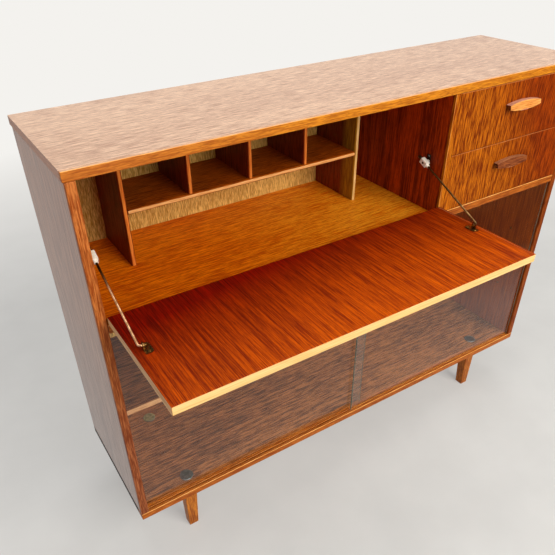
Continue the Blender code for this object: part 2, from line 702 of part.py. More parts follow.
def build_rod(name, inward, length):
    points = rod_path(inward, length)
    curve = bpy.data.curves.new(name, "CURVE")
    curve.dimensions = "3D"
    curve.bevel_depth = ROD_RADIUS
    curve.bevel_resolution = 4
    curve.use_fill_caps = True
    spline = curve.splines.new("POLY")
    spline.points.add(len(points) - 1)
    for point, place in zip(spline.points, points):
        point.co = (*place, 1)
    wire = bpy.data.objects.new(name + "_line", curve)
    parts.objects.link(wire)
    bpy.context.view_layer.update()
    mesh = bpy.data.meshes.new_from_object(wire.evaluated_get(bpy.context.evaluated_depsgraph_get()))
    bpy.data.objects.remove(wire, do_unlink=True)
    model = bmesh.new()
    model.from_mesh(mesh)
    bmesh.ops.remove_doubles(model, verts=model.verts, dist=WELD)
    bmesh.ops.recalc_face_normals(model, faces=model.faces)
    model.to_mesh(mesh)
    model.free()
    rod = bpy.data.objects.new(name, mesh)
    parts.objects.link(rod)
    finish_piece(rod, "brass")
    shade_round(rod)
    ferrule = round_cutter(name + "_ferrule", FERRULE_RADIUS, (0, 0, length - FERRULE_LENGTH),
                           (0, 0, length + SEAT), 20)
    fuse(rod, ferrule)
    return [rod, ferrule]


def build_block(name, inward):
    """The nylon block: it turns on the wall stud and the rod slides through it along its Z."""
    block = cube(name, span(0, BLOCK_WIDTH), span(0, BLOCK_THICKNESS), span(0, BLOCK_LENGTH))
    round_edges(block, BLOCK_ROUND, 3)
    finish_piece(block, "nylon")
    boss_end = -inward * (STAY_OFFSET - WALL_PLATE - SEAT)
    boss = round_cutter(name + "_boss", BOSS_RADIUS, (0, 0, 0), (boss_end, 0, 0))
    collar = round_cutter(name + "_collar", COLLAR_RADIUS, (0, 0, 0),
                          (0, 0, -BLOCK_LENGTH / 2 - COLLAR_LENGTH))
    bore = round_cutter(name + "_rod_bore", ROD_RADIUS + ROD_BORE_CLEARANCE,
                        (0, 0, -BLOCK_LENGTH), (0, 0, BLOCK_LENGTH))
    stud_depth = -inward * (BLOCK_WIDTH / 2)
    socket = round_cutter(name + "_stud_socket", STUD_RADIUS + STUD_CLEARANCE,
                          (stud_depth, 0, 0), (boss_end - inward * OVERRUN, 0, 0))
    fuse(block, boss)
    fuse(block, collar)
    cut(block, bore)
    cut(block, socket)
    return [block, boss, collar, bore, socket]


def build_wall_plate(name, wall, inward, y, z):
    """The steel plate screwed to the wall, with the stud that the block turns on."""
    plate = cube(name, sorted((wall + inward * SEAT, wall + inward * WALL_PLATE)),
                 span(y, WALL_PLATE_WIDTH), span(z, WALL_PLATE_HEIGHT))
    round_edges(plate, ARRIS)
    finish_piece(plate, "steel")
    tip = wall + inward * (STAY_OFFSET - BLOCK_WIDTH / 2 - STUD_TIP_GAP)
    stud = round_cutter(name + "_stud", STUD_RADIUS, (wall + inward * WALL_PLATE / 2, y, z), (tip, y, z))
    fuse(plate, stud)


def build_stay(side, wall, inward, flap_pivot):
    """One stay: bracket on the flap, bent rod, nylon block and wall plate."""
    name = "stay_" + side
    (pivot_y, pivot_z), (eye_out, eye_along) = stay_geometry()
    hinge = Vector((0, HINGE_Y, HINGE_Z))
    line_x = wall + inward * STAY_OFFSET
    wall_pivot = hinge + Vector((line_x, pivot_y, pivot_z))
    open_turn = Matrix.Rotation(FLAP_OPEN, 3, "X")
    eye = hinge + Vector((line_x, 0, 0)) + open_turn @ Vector((0, eye_out, eye_along))
    along = wall_pivot - eye
    lean = math.atan2(-along.y, along.z)

    hang(flap_pivot, *build_bracket(name + "_bracket", wall, inward))
    rod_pieces = build_rod(name + "_rod", inward, along.length + ROD_TAIL)
    block_pieces = build_block(name + "_block", inward)
    build_wall_plate(name + "_wall_plate", wall, inward, wall_pivot.y, wall_pivot.z)
    for label, place, pieces in (("_rod_eye", eye, rod_pieces), ("_block_pivot", wall_pivot, block_pieces)):
        turn = pivot(name + label, place)
        turn.rotation_euler = (lean, 0, 0)
        for ob in pieces:
            ob.parent = turn


def build_flap(desk_lip):
    """The flap, built shut between the side and the divider and then turned open."""
    hinge_line = pivot("flap_hinge_line", ((INNER_LEFT + DIVIDER_LEFT) / 2, HINGE_Y, HINGE_Z))
    x = (INNER_LEFT + FLAP_END_GAP, DIVIDER_LEFT - FLAP_END_GAP)
    y = (FRONT, FRONT + BOARD)
    z = (LIP_TOP + FLAP_FOOT_GAP, UNDER_TOP - FLAP_HEAD_GAP)
    core_x = (x[0] + FLAP_LIP + SEAT, x[1] - FLAP_LIP - SEAT)
    panel = board("flap_panel", core_x, y, (z[0], z[1] - FLAP_LIP - SEAT), "sapele")
    edging = lip("flap_lipping", x, y, z, "pale lip")
    core = box_cutter("flap_core", (x[0] + FLAP_LIP, x[1] - FLAP_LIP), (y[0] - OVERRUN, y[1] + OVERRUN),
                      (z[0] - OVERRUN, z[1] - FLAP_LIP))
    cut(edging, core)
    middle_x = sum(x) / 2
    moving = [panel, edging, core]
    moving += build_pull("flap_pull", middle_x, z[1] - FLAP_PULL_DROP)
    moving += build_hinge("hinge_left", x[0] + HINGE_FROM_END, desk_lip, panel)
    moving += build_hinge("hinge_right", x[1] - HINGE_FROM_END, desk_lip, panel)
    hang(hinge_line, *moving)
    build_stay("left", INNER_LEFT, 1, hinge_line)
    build_stay("right", DIVIDER_LEFT, -1, hinge_line)
    hinge_line.rotation_euler = (FLAP_OPEN, 0, 0)

    catch_front = FRONT + BOARD + CATCH_GAP
    board("flap_catch", span(middle_x, CATCH_LENGTH), (catch_front, catch_front + CATCH_DEPTH),
          (UNDER_TOP - SEAT - CATCH_HEIGHT, UNDER_TOP - SEAT), "nylon", CATCH_ROUND, 2)


def main():
    clear_scene()
    left, right, bottom, desk_lip = build_carcass()
    for x_side, x_name in ((-1, "left"), (1, "right")):
        for y_side, y_name in ((-1, "front"), (1, "rear")):
            build_leg("leg_%s_%s" % (y_name, x_name), x_side, y_side, bottom)
    build_inner_shelf(left, right)
    build_pigeonholes()
    build_drawers()
    build_panes()
    build_flap(desk_lip)
    bpy.context.view_layer.update()


main()
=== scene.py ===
"""Looks of a teak drinks cabinet: veneers, solid lips, brass stays, glass, floor, light, camera."""
import json
import math

import bpy
from mathutils import Matrix, Vector


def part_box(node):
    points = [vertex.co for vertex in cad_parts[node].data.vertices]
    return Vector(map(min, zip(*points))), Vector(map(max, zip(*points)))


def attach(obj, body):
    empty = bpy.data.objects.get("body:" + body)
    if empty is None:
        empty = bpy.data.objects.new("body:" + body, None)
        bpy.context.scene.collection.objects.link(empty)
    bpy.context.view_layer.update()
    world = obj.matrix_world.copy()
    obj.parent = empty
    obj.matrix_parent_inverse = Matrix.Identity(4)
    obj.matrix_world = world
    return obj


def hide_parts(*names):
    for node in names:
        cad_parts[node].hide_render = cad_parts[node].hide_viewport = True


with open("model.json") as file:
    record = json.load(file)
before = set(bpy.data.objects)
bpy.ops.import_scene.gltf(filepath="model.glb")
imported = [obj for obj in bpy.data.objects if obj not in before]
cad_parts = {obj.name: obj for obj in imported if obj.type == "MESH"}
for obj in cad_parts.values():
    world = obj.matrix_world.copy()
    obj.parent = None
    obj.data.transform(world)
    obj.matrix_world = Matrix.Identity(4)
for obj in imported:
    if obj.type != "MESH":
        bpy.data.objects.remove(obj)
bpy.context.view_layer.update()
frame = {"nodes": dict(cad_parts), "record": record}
NODES = frame["nodes"]
BODY_OF = {node: body for body, members in frame["record"]["behaviour"]["bodies"].items()
           for node in members}
SLOT_OF = {part["node"]: part["material_slot"] for part in frame["record"]["subparts"]}

# Camera, at the place and angle that the photograph was taken from
CAMERA_PLACE = (-0.8763, -0.9747, 1.4341)
CAMERA_TURN = (53.683, 0.766, -32.414)
CAMERA_LENS = 38.18
CAMERA_SHIFT = (0.0092, 0.0846)

# Sizes of the small pieces, in metres
NEAR = 0.0001
WELD_GAP = 0.00001
EDGE_ROUND = 0.0005
BOARD_ROUND = 0.0006
NOSE = 0.0050
PANE_ARRIS = 0.0005

# Carved pulls: the chamfer round their front, and the share of its height that a blank keeps
PULL_EASE = 0.0035
PULL_SLIM = 0.74

# Heads of screws and rivets: width of a slot, and shares of the height for crown and slot floor
SCREW_SLOT = 0.0008
HEAD_CROWN = 0.7
SLOT_FLOOR = 0.3

# Each screw or rivet: radius and height of its head, and where it sits. A hinge screw's head
# is three times as high as it stands proud
LEAF_SCREW = 0.0026
LEAF_SCREW_PROUD = 0.00012
LEAF_SCREW_INSET = 0.0065
LEAF_SCREW_PLACES = (0.16, 0.50, 0.84)
PLATE_SCREW = 0.0024
PLATE_SCREW_INSET = 0.0034
PLATE_FACE = 0.0015
BRACKET_SCREW = 0.0030
BRACKET_SCREW_HEIGHT = 0.0009
BRACKET_SCREW_OUT = 0.0085
BRACKET_SCREW_REACH = 0.0110
RIVET = 0.0028
RIVET_HEIGHT = 0.0008

# Flap brackets
EAR = 0.0016
EAR_CROWN = 0.0060
EAR_HOLE = 0.0028
PLATE_CORNER = 0.0065

# Sleeves in the spare peg holes, and panel pins in the back
SLEEVE = 0.0037
SLEEVE_BORE = 0.0026
SLEEVE_PROUD = 0.0006
PEG_PITCH = 0.102
PIN_HEAD = 0.0016
PIN_RECESS = 0.0022
PIN_DEPTH = 0.0006
PIN_SPACING = 0.140
PIN_INSET = 0.0045

# Angles in degrees: what is shaded round, what is rounded off, and what counts as flat
ROUND_BELOW = 50
SOFTEN_ABOVE = 60
FLAT_WITHIN = 2

# Wood: the values of each layer's noise that become its dark and its light end
BROAD_STRETCH = (0.40, 0.60)
FINE_STRETCH = (0.36, 0.64)
PORE_STRETCH = (0.54, 0.66)
RIBBON_STRETCH = (0.42, 0.58)
TONE_DARK, TONE_LIGHT = 0.20, 0.80

# Wood: clouds of tone, the shares of the layers, and how gloss follows the grain
CLOUD = (0.60, 0.20)
CLOUD_SHARE = 0.15
DASH_SHARE = 0.85
GLOSS_SPREAD = 0.05

# Metal: size of the dull patches, how much rougher they are, and width of the drawn lines
DULL_PATCH = 0.011
DULL_ROUGHER = 0.16
DRAWN_LINE = 0.001

# Directions that a face looks in or that a colour drifts in
RIGHT, LEFT = (1, 0, 0), (-1, 0, 0)
BACK, FRONT = (0, 1, 0), (0, -1, 0)
UP, DOWN = (0, 0, 1), (0, 0, -1)
TOP_ARRIS = (0, -0.7, 0.7)
LEFT_ARRIS = (-0.7, -0.7, 0)
PULL_TOP = (0, -0.4, 0.9)
FACE_FROM, FACE_FULL = 0.80, 0.92

# World: its light on the cabinet, and its shine, which is dim in front and full at the rear. The
# last two are the share of +Y in a direction where it stops being dim and where it is full
WORLD_LIGHT = 0.30
DIM_FRONT = 0.08
DIM_FROM, DIM_TO = -0.40, 0.10

# Floor: its glow goes over to white between two distances from the middle, and its shine to dark
# between two more, along a direction to the front right
FLOOR_SIZE = 60
FLOOR_GLOW = 0.35
FLOOR_NEAR, FLOOR_FAR = 1.5, 3.4
SHINE_WAY = (1, -1, 0)
SHINE_NEAR, SHINE_FAR = 1.4, 2.2
FLOOR_SHINE = 0.50
DARK_ROOM = 0.03

# Lamps: place, the point they face, size, power and tint
LAMPS = {
    "key": ((0.7, -3.1, 2.4), (0.0, 0.0, 0.8), 2.6, 138, "#fffaf2"),
    "overhead": ((0.0, 0.4, 3.6), (0.0, 0.0, 1.0), 2.4, 42, "#ffffff"),
    "fill": ((-2.8, -1.6, 1.8), (0.0, 0.0, 0.6), 2.2, 14, "#f2f5ff"),
}

# Inputs of a Mix node
FACTOR = 0
VALUE_A, VALUE_B = 2, 3
COLOUR_A, COLOUR_B = 6, 7


def linear(code):
    """An sRGB hex colour as linear red, green, blue and alpha."""
    channels = [int(code[i:i + 2], 16) / 255 for i in (1, 3, 5)]
    curve = [c / 12.92 if c <= 0.04045 else ((c + 0.055) / 1.055) ** 2.4 for c in channels]
    return (*curve, 1.0)


def add(tree, kind, values):
    """A node with its settings and links. A key names a setting or an input, or gives its number.

    A node as a value stands for its first output in use.
    """
    node = tree.nodes.new(kind)
    for key, value in values.items():
        if isinstance(value, bpy.types.Node):
            value = next(socket for socket in value.outputs if socket.enabled)
        if isinstance(key, str) and key in node.bl_rna.properties:
            setattr(node, key, value)
        elif isinstance(value, bpy.types.NodeSocket):
            tree.links.new(value, node.inputs[key])
        else:
            node.inputs[key].default_value = value
    return node


def new_material(name):
    """An empty material and its node tree."""
    material = bpy.data.materials.new(name)
    material.use_nodes = True
    material.node_tree.nodes.clear()
    return material, material.node_tree


def fibres(tree, place, grain, size, stretch=BROAD_STRETCH, detail=2.0):
    """One layer of grain, from 0 in its dark streaks to 1 in its light ones.

    size: a streak's length along the grain and its width across it, in metres.
    stretch: the values of the noise that become 0 and 1.
    """
    length, width = size
    low, high = stretch
    scale = [1 / width] * 3
    scale["XYZ".index(grain)] = 1 / length
    drawn = add(tree, "ShaderNodeMapping", {"Scale": scale, "Vector": place})
    noise = add(tree, "ShaderNodeTexNoise",
                {"Scale": 1.0, "Detail": detail, "Roughness": 0.6, "Vector": drawn})
    return add(tree, "ShaderNodeMapRange", {"Value": noise, "From Min": low, "From Max": high})


def past(tree, place, direction, start, end):
    """0 before the start along a direction, going over to 1 at the end."""
    along = add(tree, "ShaderNodeVectorMath", {"operation": "DOT_PRODUCT", 0: place, 1: direction})
    return add(tree, "ShaderNodeMapRange",
               {"Value": along.outputs["Value"], "From Min": start, "From Max": end})


def wood(name, grain, dark, light, pore, bands=(0.50, 0.012), dashes=(0.040, 0.0024),
         pores=(0.014, 0.0018), pore_depth=0.4, ribbon=None, roughness=0.42, specular=0.2,
         coat=0.0, coat_roughness=0.15, faces=(), drift=None):
    """Sliced veneer or planed solid wood under oil or lacquer.

    bands, dashes, pores: length and width, in metres, of the broad figure, of the streaks in it
    and of the open pores. Real pores are under half a millimetre wide and a few long; they are
    drawn about four times as coarse, and so still show as short dark ticks.
    ribbon: length, width and strength of the bright and dark stripes of quarter-cut sapele.
    faces: (direction, grain, dark, light) of faces that look that way and wear another cut.
    drift: (direction, start, end, dark, light), the colours that a board has past the end.
    """
    material, tree = new_material(name)
    coordinates = add(tree, "ShaderNodeTexCoord", {})
    place = coordinates.outputs["Object"]
    broad = fibres(tree, place, grain, bands)
    fine = fibres(tree, place, grain, dashes, FINE_STRETCH)
    cloud = fibres(tree, place, grain, CLOUD)
    ticks = fibres(tree, place, grain, pores, PORE_STRETCH, 1.0)
    tone = add(tree, "ShaderNodeMix", {FACTOR: DASH_SHARE, VALUE_A: broad, VALUE_B: fine})
    tone = add(tree, "ShaderNodeMix", {FACTOR: CLOUD_SHARE, VALUE_A: tone, VALUE_B: cloud})
    if ribbon:
        length, width, strength = ribbon
        stripe = fibres(tree, place, grain, (length, width), RIBBON_STRETCH)
        tone = add(tree, "ShaderNodeMix", {FACTOR: strength, VALUE_A: tone, VALUE_B: stripe})
    tone = add(tree, "ShaderNodeMapRange",
               {"Value": tone, "From Min": TONE_DARK, "From Max": TONE_LIGHT})
    colour = add(tree, "ShaderNodeMix", {"data_type": "RGBA", FACTOR: tone,
                                         COLOUR_A: linear(dark), COLOUR_B: linear(light)})
    if drift:
        direction, start, end, far_dark, far_light = drift
        share = past(tree, place, direction, start, end)
        far = add(tree, "ShaderNodeMix", {"data_type": "RGBA", FACTOR: tone,
                                          COLOUR_A: linear(far_dark), COLOUR_B: linear(far_light)})
        colour = add(tree, "ShaderNodeMix", {"data_type": "RGBA", FACTOR: share,
                                             COLOUR_A: colour, COLOUR_B: far})
    depth = add(tree, "ShaderNodeMath", {"operation": "MULTIPLY", 0: ticks, 1: pore_depth})
    colour = add(tree, "ShaderNodeMix", {"data_type": "RGBA", FACTOR: depth,
                                         COLOUR_A: colour, COLOUR_B: linear(pore)})
    for direction, cut, face_dark, face_light in faces:
        mask = past(tree, coordinates.outputs["Normal"], Vector(direction).normalized(),
                    FACE_FROM, FACE_FULL)
        streaks = fibres(tree, place, cut, dashes, FINE_STRETCH, 3.0)
        other = add(tree, "ShaderNodeMix", {"data_type": "RGBA", FACTOR: streaks,
                                            COLOUR_A: linear(face_dark), COLOUR_B: linear(face_light)})
        colour = add(tree, "ShaderNodeMix", {"data_type": "RGBA", FACTOR: mask,
                                             COLOUR_A: colour, COLOUR_B: other})
    gloss = add(tree, "ShaderNodeMapRange", {"Value": fine, "To Min": roughness + GLOSS_SPREAD,
                                             "To Max": roughness - GLOSS_SPREAD})
    relief = add(tree, "ShaderNodeBump", {"invert": True, "Strength": 0.20, "Distance": 0.0004,
                                          "Height": depth})
    shader = add(tree, "ShaderNodeBsdfPrincipled",
                 {"Base Color": colour, "Roughness": gloss, "Normal": relief, "IOR": 1.5,
                  "Specular IOR Level": specular, "Coat Weight": coat, "Coat Roughness": coat_roughness})
    add(tree, "ShaderNodeOutputMaterial", {"Surface": shader})
    return material


def metal(name, base, tarnish, roughness, far=None):
    """Metal whose lacquer or plating has worn: tarnish in patches, rougher where it is dull.

    far: (direction, start, end, colour), the duller colour that a long piece has past the end.
    """
    material, tree = new_material(name)
    place = add(tree, "ShaderNodeTexCoord", {}).outputs["Object"]
    cloud = add(tree, "ShaderNodeTexNoise", {"Scale": 1 / DULL_PATCH, "Detail": 4.0, "Vector": place})
    patch = add(tree, "ShaderNodeMapRange", {"Value": cloud, "From Min": 0.42, "From Max": 0.62})
    colour = add(tree, "ShaderNodeMix", {"data_type": "RGBA", FACTOR: patch,
                                         COLOUR_A: linear(base), COLOUR_B: linear(tarnish)})
    if far:
        direction, start, end, dull = far
        share = past(tree, place, direction, start, end)
        colour = add(tree, "ShaderNodeMix", {"data_type": "RGBA", FACTOR: share,
                                             COLOUR_A: colour, COLOUR_B: linear(dull)})
    gloss = add(tree, "ShaderNodeMapRange", {"Value": patch, "To Min": roughness,
                                             "To Max": roughness + DULL_ROUGHER})
    # Drawing and rolling lines under 0.1 mm apart, drawn at 1 mm so that they still show
    lines = add(tree, "ShaderNodeTexNoise",
                {"Scale": 1 / DRAWN_LINE, "Detail": 2.0, "Vector": place})
    relief = add(tree, "ShaderNodeBump", {"Strength": 0.10, "Distance": 0.0002, "Height": lines})
    shader = add(tree, "ShaderNodeBsdfPrincipled",
                 {"Base Color": colour, "Roughness": gloss, "Normal": relief, "Metallic": 1.0})
    add(tree, "ShaderNodeOutputMaterial", {"Surface": shader})
    return material


def moulded_nylon():
    """Nylon, moulded: cream, yellowed in patches by age, with the soft gloss of a mould."""
    material, tree = new_material("nylon, moulded, aged")
    place = add(tree, "ShaderNodeTexCoord", {}).outputs["Object"]
    cloud = add(tree, "ShaderNodeTexNoise", {"Scale": 1 / 0.008, "Detail": 3.0, "Vector": place})
    patch = add(tree, "ShaderNodeMapRange", {"Value": cloud, "From Min": 0.40, "From Max": 0.65})
    colour = add(tree, "ShaderNodeMix", {"data_type": "RGBA", FACTOR: patch,
                                         COLOUR_A: linear("#fbf6ea"), COLOUR_B: linear("#eadfc6")})
    gloss = add(tree, "ShaderNodeMapRange", {"Value": patch, "To Min": 0.36, "To Max": 0.46})
    shader = add(tree, "ShaderNodeBsdfPrincipled",
                 {"Base Color": colour, "Roughness": gloss, "IOR": 1.53})
    add(tree, "ShaderNodeOutputMaterial", {"Surface": shader})
    return material


def float_glass():
    """Float glass, polished by its making: clear, with a mirror-like shine. Light passes it."""
    material, tree = new_material("float glass, cut")
    shader = add(tree, "ShaderNodeBsdfPrincipled",
                 {"Base Color": linear("#f6f8f5"), "Roughness": 0.01, "IOR": 1.5,
                  "Specular IOR Level": 0.2, "Transmission Weight": 1.0})
    shadow = add(tree, "ShaderNodeBsdfTransparent", {"Color": linear("#f7f9f7")})
    path = add(tree, "ShaderNodeLightPath", {})
    both = add(tree, "ShaderNodeMixShader",
               {0: path.outputs["Is Shadow Ray"], 1: shader, 2: shadow})
    add(tree, "ShaderNodeOutputMaterial", {"Surface": both})
    return material


def ground_edge():
    """The ground edge of a glass pane: matt, and green from the iron in the glass behind it."""
    material, tree = new_material("float glass, ground edge")
    place = add(tree, "ShaderNodeTexCoord", {}).outputs["Object"]
    grind = add(tree, "ShaderNodeTexNoise", {"Scale": 1 / 0.004, "Detail": 3.0, "Vector": place})
    patch = add(tree, "ShaderNodeMapRange", {"Value": grind, "From Min": 0.36, "From Max": 0.64})
    colour = add(tree, "ShaderNodeMix", {"data_type": "RGBA", FACTOR: patch,
                                         COLOUR_A: linear("#4a5f52"), COLOUR_B: linear("#8a9a8c")})
    gloss = add(tree, "ShaderNodeMapRange", {"Value": patch, "To Min": 0.30, "To Max": 0.45})
    shader = add(tree, "ShaderNodeBsdfPrincipled",
                 {"Base Color": colour, "Roughness": gloss, "IOR": 1.5})
    add(tree, "ShaderNodeOutputMaterial", {"Surface": shader})
    return material


# Teak veneer, sliced and oiled: the top, with brown dashes and a dull shine, its colours painted paler
# and pinker than teak as a painted reflection of a white wall and a bright window on it. These colours
# serve the top lip's upper face too
TOP_DARK, TOP_LIGHT = "#b28060", "#f0c49e"
SIDE_DARK, SIDE_LIGHT = "#a05a36", "#d48a58"
TEAK_TOP = wood("teak veneer, sliced and oiled, top", "X", TOP_DARK, TOP_LIGHT, "#7d4e32",
                roughness=0.34, specular=0.5, coat=0.25, coat_roughness=0.28,
                faces=((LEFT, "Y", SIDE_DARK, SIDE_LIGHT), (RIGHT, "Y", SIDE_DARK, SIDE_LIGHT)))
# Teak veneer, sliced and lacquered: upright grain under a film that mirrors at a low angle.
# Inside, out of the sun, it stays red-brown
SIDE_LOOK = {"grain": "Z", "dark": SIDE_DARK, "light": SIDE_LIGHT, "pore": "#4c2410",
             "bands": (0.60, 0.016), "dashes": (0.080, 0.0026), "pores": (0.040, 0.0024),
             "roughness": 0.34, "specular": 0.4, "coat": 0.75, "coat_roughness": 0.18,
             # Lower down, the sides are painted greyer and pinker: a painted reflection of the floor in
             # their film
             "drift": (DOWN, -0.80, -0.30, "#94604a", "#c08c70")}
TEAK_LEFT = wood("teak veneer, sliced and lacquered, left side", **SIDE_LOOK,
                 faces=((RIGHT, "Z", "#7a300a", "#ac5414"),))
TEAK_RIGHT = wood("teak veneer, sliced and lacquered, right side", **SIDE_LOOK,
                  faces=((LEFT, "Z", "#7a300a", "#ac5414"),))
# The desk floor keeps its first colour: golden orange, with a shine that shows what stands on it. It is
# painted darker at the left, as the shade of its nook, and more golden to the right, as a painted sheen
TEAK_DESK = wood("teak veneer, sliced and lacquered, desk floor", "X", "#c44e02", "#fc8608", "#923a02",
                 roughness=0.34, specular=0.05, coat=0.12, coat_roughness=0.16,
                 drift=(RIGHT, -0.35, 0.12, "#e06a02", "#ffae28"))
# Inside the glass section, out of the sun, the veneer stays brown and matt. The ends of the
# bottom board are near black and read as a dark line under the sides
TEAK_INSIDE = wood("teak veneer, sliced and waxed, inside", "X", "#582c12", "#b06e3c", "#44240f",
                   roughness=0.50, specular=0.05,
                   # Its front faces, such as the shelf's edge, are painted lighter and pinker as if lit:
                   # painted light
                   faces=((FRONT, "X", "#b67c52", "#dca878"), (LEFT, "Y", "#0a0503", "#1a0e08"),
                          (RIGHT, "Y", "#0a0503", "#1a0e08")))
# Drawer fronts: one sheet of upright veneer runs over both, orange with fine dark streaks, and
# redder towards the upper right
TEAK_DRAWER = wood("teak veneer, sliced and lacquered, drawer fronts", "Z",
                   "#6e2403", "#cc7010", "#481804", specular=0.05,
                   # The arris between the drawers is painted lighter: a painted highlight
                   faces=((TOP_ARRIS, "X", "#b4602c", "#d48a50"),),
                   drift=((1, 0, 0.5), 0.82, 1.00, "#601c03", "#a24005"))
# Solid teak lips, planed and oiled: straight grain. Their arrises are painted brighter: a painted
# highlight where the rounding catches the light, together with wear from hands
LIP_TOP = wood("solid teak, planed and oiled, top lip", "X", "#a65518", "#c97628", "#7c3c0e",
               specular=0.15,
               faces=((UP, "X", TOP_DARK, TOP_LIGHT), (TOP_ARRIS, "X", "#e08e38", "#f4b060"),
                      (LEFT, "Y", SIDE_DARK, SIDE_LIGHT)),
               drift=(RIGHT, -0.60, -0.15, "#ae600c", "#da8a1e"))
LIP_ACROSS = wood("solid teak, planed and oiled, lower lips", "X", "#8c3f0e", "#c06a20", "#5e2808",
                  bands=(0.40, 0.012), specular=0.15, faces=((TOP_ARRIS, "X", "#eca04c", "#ffc878"),))
LIP_LEFT = wood("solid teak, planed and oiled, left lip", "Z", "#944414", "#cc7838", "#5e260a",
                bands=(0.30, 0.008), specular=0.1,
                drift=(DOWN, -0.85, -0.45, "#743418", "#ac663c"))
LIP_RIGHT = wood("solid teak, planed and oiled, right lip", "Z", "#6a2808", "#a04e16", "#481a06",
                 bands=(0.30, 0.008), specular=0.1)
LIP_DIVIDER = wood("solid teak, planed and oiled, divider lip", "Z", "#883806", "#d27a14", "#5c2406",
                   specular=0.05, faces=((LEFT_ARRIS, "Z", "#cc7c30", "#e49a4c"),))
LEG_TEAK = wood("solid teak, planed and oiled, legs", "Z", "#8c400c", "#ce7c26", "#602a08",
                bands=(0.20, 0.010), specular=0.2)
# Pulls are carved from offcuts, so each has its own tone. Their bodies are painted dark as shade in
# their ends and undersides, their fronts painted lighter as lit, and the rim along their top painted as
# a highlight
PULL_PALE = wood("solid teak, carved and oiled, upper pull", "X", "#582410", "#86421e", "#401a0c",
                 bands=(0.10, 0.008), specular=0.2,
                 faces=((FRONT, "X", "#c87428", "#f0a858"), (PULL_TOP, "X", "#c88468", "#e8b094")))
PULL_RED = wood("solid teak, carved and oiled, lower pull", "X", "#40160a", "#6c3014", "#2c0e06",
                bands=(0.10, 0.008), specular=0.2,
                faces=((FRONT, "X", "#541c0a", "#9c562a"), (PULL_TOP, "X", "#9a5c38", "#c68a60")))
# Sapele, sliced and lacquered: red-brown, its quarter-cut stripes catching the light in turn
SAPELE_DIVIDER = wood("sapele veneer, sliced and lacquered, divider", "Z",
                      "#681c04", "#c0440a", "#3c1003", ribbon=(0.30, 0.012, 0.35), specular=0.1)
# The front faces of the pigeonhole boards are painted lighter: a painted highlight on their rounded
# noses
SAPELE_UPRIGHT = wood("sapele, sliced and lacquered, pigeonhole uprights", "Z",
                      "#541804", "#8c340c", "#350e03", specular=0.1,
                      faces=((FRONT, "Z", "#c05e1c", "#e88c3c"),))
# The right upright wears a pale straw band at the front, going over to red-brown at the back: a painted
# patch of light
SAPELE_STRAW = wood("sapele, sliced and lacquered, upright with sapwood", "Z",
                    "#8a5c10", "#b8841e", "#6e4c1c", specular=0.1,
                    drift=(BACK, 0.190, 0.214, "#541804", "#8c340c"),
                    faces=((FRONT, "Z", "#c89850", "#eac486"),))
SAPELE_SHELF = wood("sapele, sliced and lacquered, pigeonhole shelf", "X",
                    "#682602", "#b0540a", "#3c1603", specular=0.05,
                    faces=((FRONT, "X", "#d8904c", "#f4bc78"),))
# The flap's inner face is dark red at the hinge and goes over to orange at the front edge: partly the
# veneer's own tone, and partly painted shade from the top over its rear and painted light on its front.
# Its outer face wears the drawers' veneer
FLAP_RED = {"dark": "#560802", "light": "#8c1202", "pore": "#3c0c02", "bands": (0.45, 0.030),
            "dashes": (0.080, 0.0022), "pore_depth": 0.25, "ribbon": (0.60, 0.006, 0.25),
            "specular": 0.05, "drift": ((0.16, -0.98, 0), 0.0, 0.27, "#862802", "#d45a02")}
OUTER_SIDE = (DOWN, "Y", "#7c3208", "#c86e1c")
SAPELE_FLAP = wood("sapele veneer, quarter cut and lacquered, flap", "Y",
                   faces=(OUTER_SIDE,), **FLAP_RED)
# Ash lips under the flap's veneers: cream at the front end, tan down the sides
ASH_EDGED = wood("solid ash, planed, lips of the flap under its veneers", "Y", **FLAP_RED,
                 faces=(OUTER_SIDE, (FRONT, "X", "#e4b66e", "#f4d08e"),
                        (LEFT, "Y", "#cc9464", "#e8bc8a"), (RIGHT, "Y", "#cc9464", "#e8bc8a")))
# Plywood, rotary cut: straw coloured and unfinished, with coarse dark ticks
BACK_PLY = wood("plywood, rotary cut, back", "Z", "#b07a2c", "#f2c46c", "#704a1c",
                bands=(0.20, 0.010), dashes=(0.020, 0.0018), roughness=0.60)
# Beech, planed and left plain: pale, even, with faint flecks
BEECH = wood("solid beech, planed, drawer boxes and runners", "Y", "#b98f62", "#d2ac7c", "#97704a",
             roughness=0.55, pore_depth=0.3)
# Brass, pressed: yellow where its lacquer holds and brown where it has worn. The rods are drawn,
# pink and shiny at the front end and dull brown towards their blocks
BRASS = metal("brass, pressed and lacquered", "#c09a50", "#7c5c2c", 0.26)
BRONZE = metal("brass, pressed, brown with age", "#a8844c", "#543e20", 0.22)
ROD_LEFT = metal("brass, drawn, left stay rod", "#d6a67c", "#b4845a", 0.30,
                 far=(BACK, -0.055, -0.015, "#4c3c1c"))
ROD_RIGHT = metal("brass, drawn, right stay rod", "#b08a58", "#6c4a28", 0.30,
                  far=(BACK, -0.120, -0.080, "#5c4022"))
# Steel, pressed and plated: grey with duller clouds, and near black on the wall plates
STEEL = metal("steel, pressed and zinc plated", "#a4acb0", "#80888c", 0.34)
PLATE_STEEL = metal("steel, pressed, its plating darkened", "#4c453c", "#2e2822", 0.36)
NYLON = moulded_nylon()
GLASS = float_glass()
GLASS_EDGE = ground_edge()

# CAD nodes that keep their own mesh
FINISH_OF = {
    "top_panel": TEAK_TOP, "left_side": TEAK_LEFT, "right_side": TEAK_RIGHT,
    "bottom_board": TEAK_INSIDE, "desk_board": TEAK_DESK, "divider": SAPELE_DIVIDER,
    "drawer_lower_box": BEECH, "drawer_upper_box": BEECH, "flap_panel": SAPELE_FLAP,
}
FINISH_OF.update({name: BEECH for name in NODES if name.endswith("_runner")})

